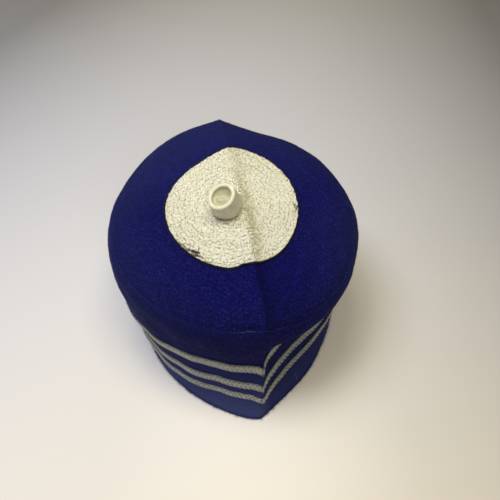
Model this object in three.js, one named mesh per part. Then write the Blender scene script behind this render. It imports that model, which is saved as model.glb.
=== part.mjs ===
// A soft cloth cap standing on its hem: a side band that leans out from a pointed
// hem to a rounded shoulder, a top panel creased front to back, an embroidered disc
// with a corded edge, a rolled knob and three braid bands round the wall.
// Millimetres, +Z up, front of the cap at -Y, wearer's crease in the plane x = CREASE_X.
import * as THREE from 'three';

// ---- driving sizes -----------------------------------------------------------
const WALL = 2.4;             // thickness of the cloth
const GAP = 0.3;              // clearance between neighbouring pieces
const CREASE_X = 2.992;       // crease plane, from the middle of the cap's box
const CENTRE_Y = 3.95;        // section centre, from the middle of the cap's box
const STEPS = 26;             // points along each half outline, front tip to back tip

// plan outlines of the wall, a row for each section from the hem to the widest ring
const SECTIONS = [
  // at: share of the wall height; left, right: half widths; front, back: reach along the crease;
  // curlL, curlR, curlBL, curlBR: how pointed the left front, right front, left back and right
  // back are (1 is an ellipse, 2 a straight wedge, more a hollow tuck); tip: lean of the front tip;
  // cornerF, cornerB: how far soft corners stand out on the right side, in front and behind
  { at: 0.00, left: 89.0, right: 85.0, front: 115.2, back: 96.0, curlL: 1.32, curlR: 1.94, curlBL: 1.10, curlBR: 1.10, tip: -4.6, cornerF: 3.2, cornerB: 1.8 },
  { at: 0.30, left: 94.4, right: 94.2, front: 100.2, back: 100.0, curlL: 1.46, curlR: 3.20, curlBL: 1.02, curlBR: 1.08, tip: -1.2, cornerF: 0.0, cornerB: 1.8 },
  { at: 0.62, left: 101.7, right: 93.2, front: 87.6, back: 103.6, curlL: 1.42, curlR: 3.38, curlBL: 0.96, curlBR: 1.10, tip: -0.3, cornerF: 0.0, cornerB: 1.8 },
  { at: 1.00, left: 99.8, right: 94.8, front: 85.3, back: 107.3, curlL: 1.26, curlR: 1.10, curlBL: 0.85, curlBR: 1.19, tip: 0.0, cornerF: 0.0, cornerB: 2.3 },
];
const CORNER_F = { t: 0.735, spread: 0.20 }, CORNER_B = { t: 2.138, spread: 0.28 };
const TIP_REACH = 38;         // how far along the outline the tip's lean fades out

// crown: a roof ridge along the crease, falling to both sides and rounded at the shoulder
const RIDGE_Z = 132.2;        // ridge height over the section centre
const FRONT_FALL = 17.5, FRONT_POWER = 1.12;
const BACK_RISE = 1.75, BACK_POWER = 2.1;
const LEFT_FALL = 17.6, LEFT_POWER = 0.9;
const RIGHT_FALL = 13.0, RIGHT_POWER = 1.3;
const FOLD_STEP = 5.0, FOLD_WIDTH = 5.0;      // steep lip on the right of the ridge
const FOLD_SOFT = { from: 22, run: 45, width: 18 };    // the lip widens to a slope behind
const BACK_DIP = { deep: 6.2, at: 31, wide: 27, from: 66, run: 30 };   // hollow behind, right of the ridge
const SHOULDER_DROP = 23.7, SHOULDER_FROM = 0.679;
const SEAM = 0.944;           // shoulder seam, as a share of the widest outline
const SEAM_HALF_GAP = 0.0015; // half the seam gap, in the same share

// embroidered disc and its edging, centred beside the crease
const DISC = { u: -4.6, y: 7.3, radius: 48.4, thick: 1.2, edge: 0.5 };
const EDGING_R = 0.6;

// rolled knob: a row for each ring up the outside, over the rim and down into the dimple
// lean is the shift of its middle for each mm of rise, tilt the slope of its rim
const KNOB = { x: -10.35, y: 1.7, leanX: -0.34, leanY: -0.14, tiltX: -0.42, tiltY: -0.25 };
const KNOB_RINGS = [
  { rise: 0.0, radius: 8.7 }, { rise: 0.45, radius: 9.9 }, { rise: 1.2, radius: 10.4 },
  { rise: 2.6, radius: 10.5 }, { rise: 5.0, radius: 10.15 }, { rise: 8.0, radius: 9.6 },
  { rise: 10.5, radius: 9.15 }, { rise: 12.2, radius: 8.95 }, { rise: 12.9, radius: 8.85 },
  { rise: 13.35, radius: 8.35 }, { rise: 13.55, radius: 7.45 }, { rise: 13.3, radius: 6.65 },
  { rise: 12.6, radius: 6.2 }, { rise: 11.7, radius: 5.8 }, { rise: 11.1, radius: 5.0 },
];
const KNOB_FLOOR = 10.7, KNOB_ARCH = 0.4, KNOB_SIDES = 24;   // floor of the dimple, hollow of the foot

// braid bands: middle of each band as a share of the wall height, and its width
const STRIPES = [
  { name: 'stripe_lower', at: 0.204, width: 5.6 },
  { name: 'stripe_middle', at: 0.330, width: 7.6 },
  { name: 'stripe_upper', at: 0.522, width: 9.6 },
];
// the bands are sewn on by eye: how far they stray up or down round the cap, as a share of the
// wall height; turn runs from the front tip (0) up the right to the back (1) and down the left (2)
const STRAY = [
  [0, -0.006], [0.06, -0.021], [0.10, -0.021], [0.15, 0.002], [0.28, 0.006], [0.36, -0.018], [0.5, -0.010],
  [0.65, 0], [1.5, 0], [1.6, -0.008], [1.7, -0.017], [1.75, -0.006], [1.8, 0.012], [1.855, 0.029],
  [1.9, 0.034], [1.935, 0.029], [1.965, 0.014], [2, -0.006],
];
const CLIMB = 0.032;          // extra rise of the upper band just right of the front tip
const BRAID = 1.3, BRAID_EDGE = 0.7;          // braid thickness at its middle and its edges

const PAINT = {
  side_wall: { color: 0x1d1d8c, roughness: 0.95 },
  crown_panel: { color: 0x1d1d8c, roughness: 0.95 },
  crown_disc: { color: 0xe6e1d0, roughness: 0.55 },
  disc_edging: { color: 0x15151c, roughness: 0.8 },
  knob: { color: 0xe9e4d6, roughness: 0.4 },
  stripe_lower: { color: 0x9c9890, roughness: 0.6 },
  stripe_middle: { color: 0x9c9890, roughness: 0.6 },
  stripe_upper: { color: 0x9c9890, roughness: 0.6 },
};

// ---- outlines ------------------------------------------------------------------
// smooth value of one column of SECTIONS at a share of the wall height
function column(key, at) {
  const n = SECTIONS.length;
  const slope = (i) => (SECTIONS[i + 1][key] - SECTIONS[i][key]) / (SECTIONS[i + 1].at - SECTIONS[i].at);
  const tangent = (i) => (i === 0 ? slope(0) : i === n - 1 ? slope(n - 2) : (slope(i) + slope(i - 1)) / 2);
  let i = 0;
  while (i < n - 2 && at >= SECTIONS[i + 1].at) i++;
  const h = SECTIONS[i + 1].at - SECTIONS[i].at;
  const u = (at - SECTIONS[i].at) / h, u2 = u * u, u3 = u2 * u;
  return (2 * u3 - 3 * u2 + 1) * SECTIONS[i][key] + (u3 - 2 * u2 + u) * h * tangent(i)
    + (3 * u2 - 2 * u3) * SECTIONS[i + 1][key] + (u3 - u2) * h * tangent(i + 1);
}

// point of the plan outline: t runs from the front tip (0) to the back tip (PI)
function outlinePoint(at, side, t) {
  const front = column('front', at), back = column('back', at);
  const half = column(side < 0 ? 'left' : 'right', at);
  const w = (1 - Math.cos(t)) / 2;
  const power = column(side < 0 ? 'curlL' : 'curlR', at) * (1 - w)
    + column(side < 0 ? 'curlBL' : 'curlBR', at) * w;
  const lean = column('tip', at) * Math.exp(-(((t * (front + back)) / 2 / TIP_REACH) ** 2));
  const corner = side < 0 ? 0
    : column('cornerF', at) * Math.exp(-(((t - CORNER_F.t) / CORNER_F.spread) ** 2))
    + column('cornerB', at) * Math.exp(-(((t - CORNER_B.t) / CORNER_B.spread) ** 2));
  return {
    x: side * half * Math.max(Math.sin(t), 0) ** power + lean + corner,
    y: (back - front) / 2 - ((back + front) / 2) * Math.cos(t),
  };
}

// closed outline, counter-clockwise from above: right half back, left half forward
const RING = [];
for (let i = 0; i < STEPS; i++) RING.push({ side: 1, t: (Math.PI * i) / STEPS });
for (let i = 0; i < STEPS; i++) RING.push({ side: -1, t: Math.PI - (Math.PI * i) / STEPS });
const outline = (at) => RING.map(({ side, t }) => outlinePoint(at, side, t));

// the same outline moved sideways by a distance, outward if positive, corners mitred
function offsetOutline(ring, distance) {
  const n = ring.length;
  const normal = (a, b) => {
    const dx = b.x - a.x, dy = b.y - a.y, l = Math.hypot(dx, dy);
    return { x: dy / l, y: -dx / l };
  };
  return ring.map((p, i) => {
    const a = normal(ring[(i + n - 1) % n], p), b = normal(p, ring[(i + 1) % n]);
    const k = distance / Math.max(1 + a.x * b.x + a.y * b.y, 0.6);
    return { x: p.x + (a.x + b.x) * k, y: p.y + (a.y + b.y) * k };
  });
}

// ---- heights -------------------------------------------------------------------
const WIDEST = outline(1);
const WIDEST_IN = offsetOutline(WIDEST, -WALL);

// share of the widest outline that a plan point reaches, along its ray from the centre
function reach(x, y) {
  const n = WIDEST.length;
  for (let i = 0; i < n; i++) {
    const a = WIDEST[i], b = WIDEST[(i + 1) % n];
    const det = a.x * b.y - a.y * b.x;
    const u = (x * b.y - y * b.x) / det, v = (a.x * y - a.y * x) / det;
    if (u >= -1e-9 && v >= -1e-9) return u + v;
  }
  return 0;
}
const ridge = (y) => (y < 0
  ? RIDGE_Z - FRONT_FALL * (-y / SECTIONS[3].front) ** FRONT_POWER
  : RIDGE_Z + BACK_RISE * (y / SECTIONS[3].back) ** BACK_POWER);
const ease = (v) => { const u = Math.min(Math.max(v, 0), 1); return u * u * (3 - 2 * u); };
const foldWidth = (y) => FOLD_WIDTH + FOLD_SOFT.width * ease((y - FOLD_SOFT.from) / FOLD_SOFT.run);
const backDip = (x, y) => BACK_DIP.deep * ease((y - BACK_DIP.from) / BACK_DIP.run)
  * (1 - Math.exp(-x / 3)) * Math.exp(-(((x - BACK_DIP.at) / BACK_DIP.wide) ** 2));
const fall = (x, y = 0) => (x < 0
  ? LEFT_FALL * (-x / SECTIONS[3].left) ** LEFT_POWER
  : RIGHT_FALL * (x / SECTIONS[3].right) ** RIGHT_POWER + FOLD_STEP * (1 - Math.exp(-x / foldWidth(y))) + backDip(x, y));
const turn = (e) => Math.min(Math.max((e - SHOULDER_FROM) / (1 - SHOULDER_FROM), 0), 1);
const crownZ = (x, y, e) => ridge(y) - fall(x, y) - SHOULDER_DROP * (1 - Math.sqrt(1 - turn(e) ** 2));

// ---- rings ---------------------------------------------------------------------
const WALL_TOP = WIDEST.map((p) => crownZ(p.x, p.y, 1));
// wall ring at a share of the wall height, moved out by a distance; rows stray with the bands,
// less towards the hem and the widest ring, where they don't stray at all
const aroundOf = ({ side, t }) => (side > 0 ? t / Math.PI : 2 - t / Math.PI);
const clamp01 = (v) => Math.min(Math.max(v, 0), 1);
const climb = (p) => {
  const around = aroundOf(p);
  return CLIMB * (clamp01((around - 0.026) / 0.045) * clamp01((0.34 - around) / 0.12)
    + 1.15 * Math.exp(-(((around - 0.062) / 0.036) ** 2))
    + 0.5 * Math.exp(-(((around - 1.955) / 0.04) ** 2)));
};
const stray = (p) => {
  const turn = aroundOf(p);
  let i = 0;
  while (i < STRAY.length - 2 && turn >= STRAY[i + 1][0]) i++;
  const u = (turn - STRAY[i][0]) / (STRAY[i + 1][0] - STRAY[i][0]);
  return STRAY[i][1] + (STRAY[i + 1][1] - STRAY[i][1]) * (0.6 * u + 0.4 * ease(u));
};
const RING_STRAY = RING.map(stray), RING_CLIMB = RING.map(climb);
function wallRing(at, distance) {
  const weight = Math.min(at / 0.15, 1, (1 - at) / 0.4);
  const upper = clamp01((at - 0.42) / 0.06);
  const share = RING_STRAY.map((s, i) => at + (s + RING_CLIMB[i] * upper) * weight);
  return offsetOutline(RING.map(({ side, t }, i) => outlinePoint(share[i], side, t)), distance)
    .map((p, i) => new THREE.Vector3(p.x, p.y, WALL_TOP[i] * share[i]));
}

// crown point on the outer face, or on the inner face one cloth thickness below
function crownPoint(x, y, i, inner) {
  const e = reach(x, y), s = turn(e), z = crownZ(x, y, e);
  if (!inner) return new THREE.Vector3(x, y, z);
  return new THREE.Vector3(
    x + s * (WIDEST_IN[i].x - WIDEST[i].x),
    y + s * (WIDEST_IN[i].y - WIDEST[i].y),
    z - WALL * Math.sqrt(1 - s * s),
  );
}
const shoulderRing = (e, inner) => WIDEST.map((p, i) => crownPoint(p.x * e, p.y * e, i, inner));

// distance of the disc's rim from the crease point (0, DISC.y), in the direction of a ring point:
// the disc is flat cloth laid over the roof, so its half widths are measured along the slope
function slopeToPlan(u) {
  const side = Math.sign(u), steps = 60, d = 75 / steps;
  let run = 0;
  for (let i = 0; i < steps; i++) {
    const step = Math.hypot(d, fall(side * (i + 1) * d) - fall(side * i * d));
    if (run + step >= Math.abs(u)) return side * (i + (Math.abs(u) - run) / step) * d;
    run += step;
  }
  return side * 75;
}
const SEAM_RING = WIDEST.map((p) => ({ x: p.x * SEAM, y: p.y * SEAM }));
const RIM = SEAM_RING.map((p) => {
  const dx = p.x, dy = p.y - DISC.y, l = Math.hypot(dx, dy);
  let low = 20, high = 70;
  const inside = (r) => {
    const x = (dx / l) * r, y = (dy / l) * r;
    let lowU = -75, highU = 75;
    for (let k = 0; k < 40; k++) {
      const u = (lowU + highU) / 2;
      if (slopeToPlan(u) < x) lowU = u; else highU = u;
    }
    return Math.hypot(lowU - DISC.u, y) < DISC.radius;
  };
  for (let k = 0; k < 40; k++) {
    const r = (low + high) / 2;
    if (inside(r)) low = r; else high = r;
  }
  return { dx: dx / l, dy: dy / l, rim: low, seam: l };
});
// ring of plan points at a share of the disc's rim, plus a distance beyond it
const discPlan = (share, beyond) => RIM.map(({ dx, dy, rim }) => ({
  x: dx * (rim * share + beyond), y: DISC.y + dy * (rim * share + beyond),
}));
// ring of plan points between the rim's outer side (0) and the seam (1)
const apronPlan = (share, start) => RIM.map(({ dx, dy, rim, seam }) => {
  const r = (rim + start) * (1 - share) + seam * share;
  return { x: dx * r, y: DISC.y + dy * r };
});
const onCrown = (plan, inner) => plan.map((p, i) => crownPoint(p.x, p.y, i, inner));
const lifted = (plan, lift) => plan.map((p) => new THREE.Vector3(p.x, p.y, crownZ(p.x, p.y, reach(p.x, p.y)) + lift));

// ---- closed solids from rings -----------------------------------------------------
// Rings have equal counts; each ring is joined to the next. A pole closes an end with a fan,
// and with no poles the last ring is joined to the first. Quads are split from the ring's point to
// the next ring's next point, and the other way after ring number turned.
function loft(rings, startPole, endPole, turned = -1) {
  const n = rings[0].length, position = [], index = [];
  for (const ring of rings) for (const p of ring) position.push(p.x, p.y, p.z);
  const join = (a, b) => {
    for (let j = 0; j < n; j++) {
      const k = (j + 1) % n;
      if (a === turned) index.push(a * n + j, a * n + k, b * n + j, a * n + k, b * n + k, b * n + j);
      else index.push(a * n + j, a * n + k, b * n + k, a * n + j, b * n + k, b * n + j);
    }
  };
  for (let r = 0; r + 1 < rings.length; r++) join(r, r + 1);
  if (startPole) {
    const c = position.length / 3;
    position.push(startPole.x, startPole.y, startPole.z);
    for (let j = 0; j < n; j++) index.push(c, (j + 1) % n, j);
  }
  if (endPole) {
    const c = position.length / 3, last = (rings.length - 1) * n;
    position.push(endPole.x, endPole.y, endPole.z);
    for (let j = 0; j < n; j++) index.push(c, last + j, last + ((j + 1) % n));
  }
  if (!startPole && !endPole) join(rings.length - 1, 0);
  const geometry = new THREE.BufferGeometry();
  geometry.setAttribute('position', new THREE.Float32BufferAttribute(position, 3));
  geometry.setIndex(index);
  geometry.computeVertexNormals();
  return geometry;
}

// ---- pieces ----------------------------------------------------------------------
const cap = new THREE.Group();
cap.position.set(CREASE_X, CENTRE_Y, 0);
function add(name, geometry) {
  const mesh = new THREE.Mesh(geometry, new THREE.MeshStandardMaterial({ ...PAINT[name], metalness: 0 }));
  mesh.name = name;
  cap.add(mesh);
}

// side band: the rows include both edges of each braid band, so the bands lie parallel to it
const bandEdges = STRIPES.map(({ at, width }) => {
  const tall = width / 2 / (WALL_TOP.reduce((a, b) => a + b, 0) / WALL_TOP.length);
  return { low: at - tall, high: at + tall };
});
const WALL_ROWS = [0, 0.08, ...bandEdges.flatMap(({ low, high }) => [low, high]), 0.68, 0.85, 1];
const SHOULDER_ROWS = [0.992, 0.974, SEAM + SEAM_HALF_GAP];
add('side_wall', loft([
  ...WALL_ROWS.map((at) => wallRing(at, 0)),
  ...SHOULDER_ROWS.map((e) => shoulderRing(e, false)),
  ...[...SHOULDER_ROWS].reverse().map((e) => shoulderRing(e, true)),
  ...[...WALL_ROWS].reverse().map((at) => wallRing(at, -WALL)),
]));

// top panel: rows under the disc, then the apron from the disc's edging out to the seam
const DISC_ROWS = [0.18, 0.4, 0.62, 0.82, 1];
const DISC_GAP = GAP + 0.25;  // the disc's facets and the panel's differ at the crease
const EDGING_LINE = GAP + EDGING_R;
const APRON_ROWS = [0, 0.25, 0.5, 0.72, 0.88];
const panelEdge = (inner) => WIDEST.map((p, i) => crownPoint(p.x * (SEAM - SEAM_HALF_GAP), p.y * (SEAM - SEAM_HALF_GAP), i, inner));
const panelRows = (inner) => [
  ...DISC_ROWS.map((share) => onCrown(discPlan(share, 0), inner)),
  ...APRON_ROWS.map((share) => onCrown(apronPlan(share, EDGING_LINE), inner)),
  panelEdge(inner),
];
const CREST = crownZ(0, DISC.y, 0);
add('crown_panel', loft(
  [...panelRows(true), ...panelRows(false).reverse()],
  new THREE.Vector3(0, DISC.y, CREST - WALL),
  new THREE.Vector3(0, DISC.y, CREST),
));

// embroidered disc: a thin sheet lying over the ridge, thinner at its rim
add('crown_disc', loft(
  [
    ...DISC_ROWS.map((share) => lifted(discPlan(share, 0), DISC_GAP)),
    ...[...DISC_ROWS].reverse().map((share) => lifted(discPlan(share, 0), DISC_GAP + (share === 1 ? DISC.edge : DISC.thick))),
  ],
  new THREE.Vector3(0, DISC.y, CREST + DISC_GAP),
  new THREE.Vector3(0, DISC.y, CREST + DISC_GAP + DISC.thick),
));

// black edging: a cord round the disc, eight-sided
const EDGING_SIDES = 8;
const edging = [];
for (let k = 0; k < EDGING_SIDES; k++) {
  const a = (2 * Math.PI * (k + 0.5)) / EDGING_SIDES;
  const plan = discPlan(1, EDGING_LINE);
  edging.push(discPlan(1, EDGING_LINE + EDGING_R * Math.cos(a)).map((p, i) => new THREE.Vector3(
    p.x, p.y,
    crownZ(plan[i].x, plan[i].y, reach(plan[i].x, plan[i].y)) + GAP + EDGING_R + EDGING_R * Math.sin(a),
  )));
}
add('disc_edging', loft(edging));

// knob: rings round a leaning axis; the foot follows the disc's slope
const discTop = (x, y) => crownZ(x, y, 0) + DISC_GAP + DISC.thick;
const KNOB_GAP = GAP + 0.1;   // a little more where the foot crosses the bent disc
const KNOB_FOOT = discTop(KNOB.x, KNOB.y) + KNOB_GAP;
const knobRing = ({ rise, radius }) => Array.from({ length: KNOB_SIDES }, (_, j) => {
  const a = (2 * Math.PI * j) / KNOB_SIDES;
  const x = KNOB.x + KNOB.leanX * rise + radius * Math.cos(a);
  const y = KNOB.y + KNOB.leanY * rise + radius * Math.sin(a);
  const foot = discTop(x, y) + KNOB_GAP - KNOB_FOOT;
  const lean = -(KNOB.tiltX * radius * Math.cos(a) + KNOB.tiltY * radius * Math.sin(a));
  const settle = Math.min(rise / 8, 1);
  return new THREE.Vector3(x, y, KNOB_FOOT + rise + foot * (1 - settle) + lean * settle);
});
add('knob', loft(
  KNOB_RINGS.map(knobRing),
  new THREE.Vector3(KNOB.x, KNOB.y, KNOB_FOOT + KNOB_ARCH),
  new THREE.Vector3(KNOB.x + KNOB.leanX * KNOB_FLOOR, KNOB.y + KNOB.leanY * KNOB_FLOOR, KNOB_FOOT + KNOB_FLOOR),
));

// braid bands: full in the middle, thinner at the edges; the inner face is split as the wall's is
STRIPES.forEach(({ name, at }, i) => {
  const { low, high } = bandEdges[i];
  add(name, loft([
    wallRing(low, GAP + BRAID_EDGE),
    wallRing(at, GAP + BRAID),
    wallRing(high, GAP + BRAID_EDGE),
    wallRing(high, GAP),
    wallRing(low, GAP),
  ], null, null, 3));
});

export default cap;
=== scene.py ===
"""A soft blue cap of napped cloth: side band, creased crown, embroidered disc with a black
corded edge, rolled satin knob and three plaited braid bands. Lengths in the tables are
millimetres in the crease's own frame; meshes are written in metres."""

import math

import bpy
import numpy as np
from mathutils import Matrix, Vector


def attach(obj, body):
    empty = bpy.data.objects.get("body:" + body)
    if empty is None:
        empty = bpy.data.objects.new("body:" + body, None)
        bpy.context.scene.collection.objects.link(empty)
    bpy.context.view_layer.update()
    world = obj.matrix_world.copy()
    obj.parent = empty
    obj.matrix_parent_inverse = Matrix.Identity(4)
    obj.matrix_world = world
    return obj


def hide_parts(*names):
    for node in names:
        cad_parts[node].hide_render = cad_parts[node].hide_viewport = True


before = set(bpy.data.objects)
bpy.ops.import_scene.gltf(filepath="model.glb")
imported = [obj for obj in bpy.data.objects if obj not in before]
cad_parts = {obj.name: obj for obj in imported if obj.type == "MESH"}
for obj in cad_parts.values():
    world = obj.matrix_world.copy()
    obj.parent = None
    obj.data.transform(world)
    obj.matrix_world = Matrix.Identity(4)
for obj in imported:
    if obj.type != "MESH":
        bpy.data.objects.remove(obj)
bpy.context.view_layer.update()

# ---- sizes ---------------------------------------------------------------------------
SHIFT = np.array([2.992, 3.95, 0.0])  # crease frame to the part's frame
WALL = 2.4                            # cloth thickness
GAP = 0.3
KEYS = ("at", "left", "right", "front", "back", "curlL", "curlR", "curlBL", "curlBR", "tip", "cornerF", "cornerB")
SECTIONS = np.array([
    (0.00, 88.8, 84.6, 116.2, 96.0, 1.326, 2.06, 1.10, 1.10, -4.6, 3.2, 1.8),
    (0.30, 93.4, 93.4, 100.2, 100.0, 1.48, 3.20, 1.02, 1.08, -2.0, 0.0, 1.8),
    (0.62, 100.6, 93.2, 87.6, 103.6, 1.44, 3.38, 0.96, 1.10, -0.3, 0.0, 1.8),
    (1.00, 99.6, 94.8, 85.3, 107.3, 1.275, 1.10, 0.87, 1.19, 0.0, 0.0, 2.3),
])
CORNER_F, CORNER_B = (0.735, 0.20), (2.138, 0.28)
TIP_REACH = 38.0
RIDGE_Z = 132.2
FRONT_FALL, FRONT_POWER = 17.5, 1.12
BACK_RISE, BACK_POWER = 1.75, 2.1
LEFT_FALL, LEFT_POWER = 17.6, 0.9
RIGHT_FALL, RIGHT_POWER = 13.0, 1.3
FOLD_STEP, FOLD_WIDTH = 5.0, 5.0
FOLD_SOFT_FROM, FOLD_SOFT_RUN, FOLD_SOFT_WIDTH = 22.0, 45.0, 18.0
BACK_DIP, BACK_DIP_AT, BACK_DIP_WIDE = 6.2, 31.0, 27.0
SHOULDER_DROP, SHOULDER_FROM = 23.7, 0.679
SEAM, SEAM_HALF_GAP = 0.944, 0.0015
DISC_U, DISC_Y, DISC_R = -4.6, 7.3, 48.4
DISC_LIFT = 0.75                      # top of the disc's ground cloth over the crown
KNOB_X, KNOB_Y, KNOB_LEAN_X, KNOB_LEAN_Y = -10.35, 1.7, -0.34, -0.14
KNOB_TILT_X, KNOB_TILT_Y = -0.42, -0.25      # slope of its rim
STRIPES = (("stripe_lower", 0.204, 5.6), ("stripe_middle", 0.330, 7.6), ("stripe_upper", 0.522, 9.6))
# how far the bands stray up or down round the cap, as a share of the wall height
STRAY = np.array([
    (0, -0.006), (0.06, -0.021), (0.10, -0.021), (0.15, 0.002), (0.28, 0.006), (0.36, -0.018), (0.5, -0.010),
    (0.65, 0), (1.5, 0), (1.6, -0.008), (1.7, -0.017), (1.75, -0.006), (1.8, 0.012), (1.855, 0.029),
    (1.9, 0.034), (1.935, 0.029), (1.965, 0.014), (2, -0.006),
])

AROUND = 360        # points round the side band


# ---- the cap's surface ---------------------------------------------------------------
def column(key, at):
    """Smooth value of one column of SECTIONS at a share of the wall height."""
    at = np.asarray(at, float)
    z, v = SECTIONS[:, 0], SECTIONS[:, KEYS.index(key)]
    s = np.diff(v) / np.diff(z)
    m = np.concatenate([[s[0]], (s[1:] + s[:-1]) / 2, [s[-1]]])
    i = np.clip(np.searchsorted(z, at, side="right") - 1, 0, len(z) - 2)
    h = z[i + 1] - z[i]
    u = (at - z[i]) / h
    return ((2 * u**3 - 3 * u**2 + 1) * v[i] + (u**3 - 2 * u**2 + u) * h * m[i]
            + (3 * u**2 - 2 * u**3) * v[i + 1] + (u**3 - u**2) * h * m[i + 1])


def outline(q, at):
    """Plan point of the band. q runs 0 to 2 round the cap from the front tip: 0 to 1 up the
    right side to the back, 1 to 2 down the left side to the front again."""
    q = np.asarray(q, float) % 2.0
    left = q >= 1.0
    t = np.pi * np.where(left, 2.0 - q, q)
    front, back = column("front", at), column("back", at)
    half = np.where(left, column("left", at), column("right", at))
    w = (1 - np.cos(t)) / 2
    power = np.where(left, column("curlL", at) * (1 - w) + column("curlBL", at) * w,
                     column("curlR", at) * (1 - w) + column("curlBR", at) * w)
    lean = column("tip", at) * np.exp(-((t * (front + back) / 2 / TIP_REACH) ** 2))
    corner = (column("cornerF", at) * np.exp(-(((t - CORNER_F[0]) / CORNER_F[1]) ** 2))
              + column("cornerB", at) * np.exp(-(((t - CORNER_B[0]) / CORNER_B[1]) ** 2)))
    x = np.where(left, -1.0, 1.0) * half * np.maximum(np.sin(t), 0.0) ** power + lean + np.where(left, 0.0, corner)
    y = (back - front) / 2 - (back + front) / 2 * np.cos(t)
    return x, y


_wq = np.linspace(0, 2, 1441)[:-1]
_wx, _wy = outline(_wq, 1.0)
_wa = np.unwrap(np.arctan2(_wy, _wx))
_wa = _wa - _wa[0] - np.pi / 2
_wr = np.hypot(_wx, _wy)


def reach(x, y):
    """Share of the widest outline that a plan point reaches, along its ray from the centre."""
    a = (np.arctan2(y, x) + np.pi / 2) % (2 * np.pi) - np.pi / 2
    r = np.interp(a, np.append(_wa, _wa[0] + 2 * np.pi), np.append(_wr, _wr[0]))
    return np.hypot(x, y) / r


def ridge(y):
    f = np.maximum(-y, 0.0) / SECTIONS[3, 3]
    b = np.maximum(y, 0.0) / SECTIONS[3, 4]
    return RIDGE_Z - FRONT_FALL * f**FRONT_POWER + BACK_RISE * b**BACK_POWER


def fall(x, y=0.0):
    """Drop on both sides of the ridge; the sharp lip on the right softens towards the back."""
    lx, rx = np.maximum(-x, 0.0), np.maximum(x, 0.0)
    b = np.clip((np.asarray(y) - FOLD_SOFT_FROM) / FOLD_SOFT_RUN, 0, 1)
    width = FOLD_WIDTH + FOLD_SOFT_WIDTH * b * b * (3 - 2 * b)
    return (LEFT_FALL * (lx / SECTIONS[3, 1]) ** LEFT_POWER + RIGHT_FALL * (rx / SECTIONS[3, 2]) ** RIGHT_POWER
            + FOLD_STEP * (1 - np.exp(-rx / width)) + back_dip(rx, y))


def back_dip(rx, y):
    """Hollow right of the crease at the back edge of the crown."""
    b = np.clip((np.asarray(y) - 66.0) / 30.0, 0, 1)
    return BACK_DIP * b * b * (3 - 2 * b) * (1 - np.exp(-rx / 3.0)) * np.exp(-(((rx - BACK_DIP_AT) / BACK_DIP_WIDE) ** 2))


def waves(p, size, seed, count=26):
    """Smooth random field of unit strength with features about `size` mm across."""
    rng = np.random.default_rng(seed)
    k = rng.normal(size=(count, 3))
    k /= np.linalg.norm(k, axis=1, keepdims=True)
    k *= (2 * np.pi / size) * rng.uniform(0.55, 1.5, (count, 1))
    phase = rng.uniform(0, 2 * np.pi, count)
    return np.sin(p @ k.T + phase).sum(-1) * math.sqrt(2.0 / count)


def crown_base(x, y, e=None):
    e = reach(x, y) if e is None else e
    s = np.clip((e - SHOULDER_FROM) / (1 - SHOULDER_FROM), 0, 1)
    return ridge(y) - fall(x, y) - SHOULDER_DROP * (1 - np.sqrt(np.maximum(1 - s * s, 0)))


def crown_soft(x, y):
    """Slight unevenness of the crown cloth, in mm of height."""
    p = np.stack([x, y, np.zeros_like(x)], -1)
    return 0.32 * waves(p, 46, 11) + 0.10 * waves(p, 15, 12)


def crown_z(x, y):
    return crown_base(x, y) + crown_soft(x, y)


def crown_normal(x, y, d=0.35):
    gx = (crown_z(x + d, y) - crown_z(x - d, y)) / (2 * d)
    gy = (crown_z(x, y + d) - crown_z(x, y - d)) / (2 * d)
    n = np.stack([-gx, -gy, np.ones_like(gx)], -1)
    return n / np.linalg.norm(n, axis=-1, keepdims=True)


def wall_top(q):
    x, y = outline(q, 1.0)
    return crown_base(x, y, np.ones_like(x))


def wall_raw(q, at):
    x, y = outline(q, at)
    return np.stack([x, y, wall_top(q) * at], -1)


def stray(q, at):
    """Share of the wall height with the bands' straying added, none at the hem and the top."""
    q = np.asarray(q, float) % 2.0
    i = np.clip(np.searchsorted(STRAY[:, 0], q, side="right") - 1, 0, len(STRAY) - 2)
    u = (q - STRAY[i, 0]) / (STRAY[i + 1, 0] - STRAY[i, 0])
    ease = 0.6 * u + 0.4 * u * u * (3 - 2 * u)
    move = STRAY[i, 1] + (STRAY[i + 1, 1] - STRAY[i, 1]) * ease
    climb = np.clip((q - 0.026) / 0.045, 0, 1) * np.clip((0.34 - q) / 0.12, 0, 1) * np.clip((at - 0.42) / 0.06, 0, 1)
    climb = climb + (0.5 * np.exp(-(((q - 1.955) / 0.04) ** 2)) + 1.15 * np.exp(-(((q - 0.062) / 0.036) ** 2))) * np.clip((at - 0.42) / 0.06, 0, 1)
    return at + (move + 0.032 * climb) * np.minimum(np.minimum(at / 0.15, 1.0), (1 - at) / 0.4)


def band_point(q, at):
    return wall_raw(q, stray(q, at))


def unit(v):
    return v / np.maximum(np.linalg.norm(v, axis=-1, keepdims=True), 1e-9)


def wall_soft(p):
    """Slight unevenness of the band, in mm along its outward normal, none at the hem."""
    settle = np.clip(p[..., 2] / 14.0, 0, 1)
    return settle * (0.42 * waves(p, 42, 21) + 0.12 * waves(p, 14, 22))


# arc length along the slope on each side of the crease, for cloth laid over it
_sx = np.arange(-80.0, 80.001, 0.05)
_su = np.concatenate([[0.0], np.cumsum(np.hypot(np.diff(_sx), np.diff(fall(_sx))))])
_su -= np.interp(0.0, _sx, _su)


def slope_to_plan(u):
    return np.interp(u, _su, _sx)


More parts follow.
